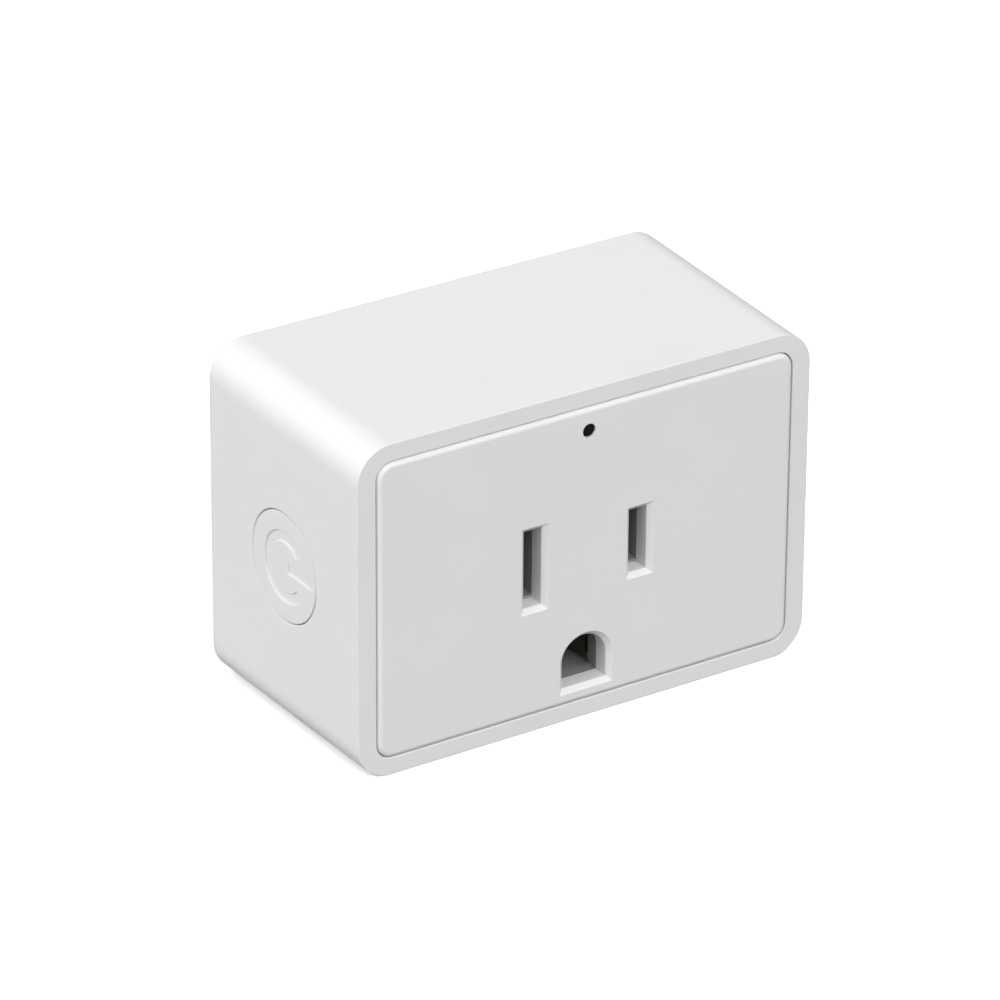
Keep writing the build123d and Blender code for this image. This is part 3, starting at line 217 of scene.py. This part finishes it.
def surface(tree, colour, rough, normal, **more):
    values = {"Base Color": colour, "Roughness": rough, "Normal": normal}
    values.update(more)
    return node(tree, "ShaderNodeBsdfPrincipled", values).outputs[0]


def close(material, tree, result):
    node(tree, "ShaderNodeOutputMaterial", {"Surface": result})
    return material


def with_leads(tree, place, body):
    """Tinned metal for the leads behind the board's front face, the body's own look in front of it."""
    depth = node(tree, "ShaderNodeSeparateXYZ", {0: place}).outputs["Y"]
    behind = math_node(tree, "GREATER_THAN", depth, BOARD_FACE_Y - LEAD_LAP)
    grain = noise(tree, place, 4000.0)
    lead = surface(tree, blend(tree, grain, rgba(TIN, 0.85), rgba(TIN)), ramp(tree, grain, 0, 1, 0.25, 0.45),
                   bumped(tree, grain, 0.4, 0.01), Metallic=1.0)
    return node(tree, "ShaderNodeMixShader", {0: behind, 1: body, 2: lead}).outputs[0]


def plastic(name, colour, rough=0.42, grain=5200.0, depth=0.006, leads=False, **more):
    """Moulded plastic: faint tone patches, uneven gloss and a fine eroded grain."""
    material, tree, place = shader(name)
    patches = noise(tree, place, 90.0, 3.0)
    tint = blend(tree, patches, rgba(colour, 0.985), rgba(colour, 1.015))
    spread = ramp(tree, patches, 0.3, 0.7, rough - 0.04, rough + 0.04)
    sparks = noise(tree, place, grain)
    body = surface(tree, tint, spread, bumped(tree, sparks, 0.35, depth), IOR=1.5, **more)
    return close(material, tree, with_leads(tree, place, body) if leads else body)


def metal(name, colour, rough=0.25, lines=(6000.0, 250.0, 6000.0), stain=0.8):
    """Rolled or drawn metal: fine lines along one direction and slow stains in tone and gloss."""
    material, tree, place = shader(name)
    stretch = node(tree, "ShaderNodeMapping", {"Vector": place, "Scale": lines}).outputs[0]
    drawn = noise(tree, stretch, 1.0, 4.0)
    cloud = noise(tree, place, 320.0, 4.0)
    tone = blend(tree, ramp(tree, cloud, 0.35, 0.65, 0.0, 1.0), rgba(colour, stain), rgba(colour))
    spread = math_node(tree, "ADD", ramp(tree, drawn, 0.3, 0.7, rough - 0.06, rough + 0.08),
                       ramp(tree, cloud, 0.3, 0.7, 0.0, 0.10))
    return close(material, tree, surface(tree, tone, spread, bumped(tree, drawn, 0.3, 0.004), Metallic=1.0))


def circuit_board(name):
    """Solder mask over copper: broken raised tracks, square to each other, over a faint glass weave."""
    material, tree, place = shader(name)
    parts = node(tree, "ShaderNodeSeparateXYZ", {0: place}).outputs
    across = math_node(tree, "ADD", parts["Y"], parts["Z"])
    flat = node(tree, "ShaderNodeCombineXYZ", {0: parts["X"], 1: across}).outputs[0]
    cells = {"Vector": flat, "Scale": 1000.0, "Mortar Size": 0.13, "Brick Width": 2.6, "Row Height": 0.85}
    grid = node(tree, "ShaderNodeTexBrick", cells).outputs["Fac"]
    routed = ramp(tree, noise(tree, place, 240.0), 0.45, 0.47, 0.0, 1.0)
    tracks = math_node(tree, "MULTIPLY", grid, routed)
    threads = {"Vector": place, "Scale": 900.0, "Distortion": 0.6}
    weave = node(tree, "ShaderNodeTexWave", threads).outputs["Fac"]
    mask = blend(tree, weave, rgba((0.012, 0.085, 0.035)), rgba((0.016, 0.105, 0.045)))
    tone = blend(tree, tracks, mask, rgba((0.045, 0.21, 0.085)))
    height = math_node(tree, "MULTIPLY_ADD", weave, 0.15, tracks)
    return close(material, tree, surface(tree, tone, ramp(tree, weave, 0, 1, 0.28, 0.36),
                                         bumped(tree, height, 0.6, 0.03), IOR=1.55))


def winding(name):
    """Enamelled wire laid side by side: the relay's coil runs up Z, the choke's along Y. Each turn's colour
    carries painted shade in the grooves between turns and a painted highlight on its crest.
    """
    material, tree, place = shader(name)
    parts = node(tree, "ShaderNodeSeparateXYZ", {0: place}).outputs
    left = math_node(tree, "LESS_THAN", parts["X"], 0.0)
    other = math_node(tree, "SUBTRACT", parts["Y"], parts["Z"])
    along = math_node(tree, "MULTIPLY_ADD", left, other, parts["Z"])
    phase = math_node(tree, "MULTIPLY", along, WIRE_TURNS)
    turn_relief_and_shade = math_node(tree, "ABSOLUTE", math_node(tree, "SINE", phase))
    cloud = noise(tree, place, 700.0, 3.0)
    # Painted shade and highlight: the copper is dark where turns meet and bright on each turn's crest, on
    # the same profile as the bump.
    tone = blend(tree, turn_relief_and_shade, rgba((0.16, 0.045, 0.012)), rgba((0.62, 0.25, 0.09)))
    tone = blend(tree, ramp(tree, cloud, 0.4, 0.7, 0.0, 0.35), tone, rgba((0.42, 0.14, 0.05)))
    return close(material, tree, surface(tree, tone, ramp(tree, cloud, 0, 1, 0.22, 0.4),
                                         bumped(tree, turn_relief_and_shade, 0.9, 0.06), Metallic=0.9))


def can(name):
    """A capacitor's shrink sleeve with a pale polarity stripe, and its bare aluminium top."""
    material, tree, place = shader(name)
    parts = node(tree, "ShaderNodeSeparateXYZ", {0: place}).outputs
    top_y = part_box("bulk_capacitor_inner")[0].y
    crease = noise(tree, place, 900.0, 3.0)
    stripe = math_node(tree, "PINGPONG", math_node(tree, "ADD", parts["X"], STRIPE_X), STRIPE_SPACING)
    pale = math_node(tree, "LESS_THAN", stripe, STRIPE_HALF)
    skin = blend(tree, crease, rgba((0.018, 0.022, 0.05)), rgba((0.03, 0.036, 0.075)))
    sleeve = surface(tree, blend(tree, pale, skin, rgba((0.35, 0.36, 0.38))),
                     ramp(tree, crease, 0, 1, 0.25, 0.42), bumped(tree, crease, 0.4, 0.02))
    bare = surface(tree, blend(tree, crease, rgba((0.62, 0.62, 0.63)), rgba((0.74, 0.74, 0.75))),
                   ramp(tree, crease, 0, 1, 0.25, 0.4), bumped(tree, crease, 0.5, 0.01), Metallic=1.0)
    crown = math_node(tree, "LESS_THAN", parts["Y"], top_y + CAN_CROWN)
    both = node(tree, "ShaderNodeMixShader", {0: crown, 1: sleeve, 2: bare}).outputs[0]
    return close(material, tree, with_leads(tree, place, both))


def banded(name, colour):
    """A lacquered resistor with three colour bands along its body."""
    material, tree, place = shader(name)
    front_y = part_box("fuse_resistor")[0].y
    depth = node(tree, "ShaderNodeSeparateXYZ", {0: place}).outputs["Y"]
    lacquer = noise(tree, place, 1400.0, 3.0)
    tone = blend(tree, lacquer, rgba(colour, 0.92), rgba(colour, 1.05))
    for offset, band in BANDS:
        away = math_node(tree, "ABSOLUTE", math_node(tree, "SUBTRACT", depth, front_y + offset * MM))
        tone = blend(tree, math_node(tree, "LESS_THAN", away, BAND_HALF), tone, rgba(band))
    body = surface(tree, tone, ramp(tree, lacquer, 0, 1, 0.2, 0.34), bumped(tree, lacquer, 0.4, 0.02),
                   **{"Coat Weight": 0.4})
    return close(material, tree, with_leads(tree, place, body))


def speckled(name, colour, dark, scale, rough=0.7, depth=0.02, leads=True):
    """A sintered or epoxy-dipped surface: specks, pits and an uneven skin."""
    material, tree, place = shader(name)
    grains = node(tree, "ShaderNodeTexVoronoi", {"Vector": place, "Scale": scale}).outputs["Distance"]
    skin = noise(tree, place, scale / 4, 4.0)
    tone = blend(tree, ramp(tree, grains, 0.1, 0.5, 1.0, 0.0), rgba(colour), rgba(dark))
    height = math_node(tree, "MULTIPLY_ADD", skin, 0.6, grains)
    body = surface(tree, tone, ramp(tree, skin, 0.3, 0.7, rough - 0.06, rough + 0.06),
                   bumped(tree, height, 0.5, depth))
    return close(material, tree, with_leads(tree, place, body) if leads else body)


def film(name):
    """A thin fibrous insulating sheet that lets a little light through."""
    material, tree, place = shader(name)
    stretch = node(tree, "ShaderNodeMapping", {"Vector": place, "Scale": (400.0, 3000.0, 2200.0)}).outputs[0]
    fibres = noise(tree, stretch, 1.0, 5.0)
    tone = blend(tree, fibres, rgba((0.70, 0.68, 0.58)), rgba((0.82, 0.80, 0.71)))
    return close(material, tree, surface(tree, tone, ramp(tree, fibres, 0.3, 0.7, 0.4, 0.6),
                                         bumped(tree, fibres, 0.4, 0.01), **{"Transmission Weight": 0.15}))


def clear(name):
    """A clear moulded lens with faint flow marks."""
    material, tree, place = shader(name)
    flow = noise(tree, place, 260.0, 3.0)
    tone = blend(tree, flow, rgba((0.86, 0.92, 0.94)), rgba((0.95, 0.97, 0.98)))
    body = surface(tree, tone, ramp(tree, flow, 0.3, 0.7, 0.03, 0.12), bumped(tree, flow, 0.3, 0.02),
                   IOR=1.5, **{"Transmission Weight": 0.9})
    return close(material, tree, with_leads(tree, place, body))


LOOKS = {
    "casing_white": lambda n: plastic(n, WHITE),
    "cover_white": lambda n: plastic(n, WHITE),
    "button_white": lambda n: plastic(n, WHITE, 0.38, 6400.0, 0.005),
    "carrier_grey": lambda n: plastic(n, (0.26, 0.26, 0.26), 0.55, 3600.0, 0.01),
    # Painted shade: the contacts' brass is coloured far darker than brass, to stand in for the shade deep
    # inside the front's slots.
    "spring_brass": lambda n: metal(n, (0.24, 0.20, 0.14), 0.42),
    "plated_prong": lambda n: metal(n, (0.80, 0.78, 0.74), 0.22, (5200.0, 240.0, 5200.0), 0.9),
    "screw_steel": lambda n: metal(n, (0.60, 0.60, 0.61), 0.3, (3000.0, 900.0, 3000.0), 0.8),
    "board_green": circuit_board,
    "insulation_film": film,
    "relay_case_blue": lambda n: plastic(n, (0.035, 0.12, 0.40), 0.28, 2600.0, 0.004,
                                         **{"Coat Weight": 0.15}),
    "relay_black": lambda n: plastic(n, (0.035, 0.035, 0.037), 0.5, 3000.0, 0.01),
    "coil_copper": winding,
    "relay_iron": lambda n: metal(n, (0.52, 0.52, 0.53), 0.34, (900.0, 900.0, 5200.0), 0.85),
    "contact_silver": lambda n: metal(n, (0.74, 0.58, 0.40), 0.3, (5200.0, 900.0, 500.0), 0.85),
    "can_sleeve": can,
    "ferrite": lambda n: speckled(n, (0.075, 0.075, 0.08), (0.03, 0.03, 0.033), 5200.0),
    "film_box": lambda n: plastic(n, (0.72, 0.50, 0.06), 0.3, 2400.0, 0.008, leads=True),
    "varistor_blue": lambda n: speckled(n, (0.03, 0.12, 0.42), (0.02, 0.08, 0.30), 1500.0, 0.35, 0.05),
    "resistor_body": lambda n: banded(n, (0.20, 0.40, 0.30)),
    "chip_black": lambda n: plastic(n, (0.022, 0.022, 0.023), 0.55, 4200.0, 0.012, leads=True),
    "shield_tin": lambda n: metal(n, (0.66, 0.66, 0.65), 0.32, (420.0, 5200.0, 5200.0), 0.88),
    "plunger_black": lambda n: plastic(n, (0.03, 0.03, 0.03), 0.4, 3400.0, 0.006),
    "clear_plastic": clear,
    "smoked_plastic": lambda n: plastic(n, (0.004, 0.004, 0.004), 0.4, 3000.0, 0.004,
                                        **{"Specular IOR Level": 0.25}),
}


def dress():
    made = {}
    for row in frame["record"]["subparts"]:
        slot = row["material_slot"]
        if slot not in made:
            made[slot] = LOOKS[slot](slot)
        mesh = nodes[row["node"]].data
        mesh.materials.clear()
        mesh.materials.append(made[slot])


camera()
studio()
floor()
dress()
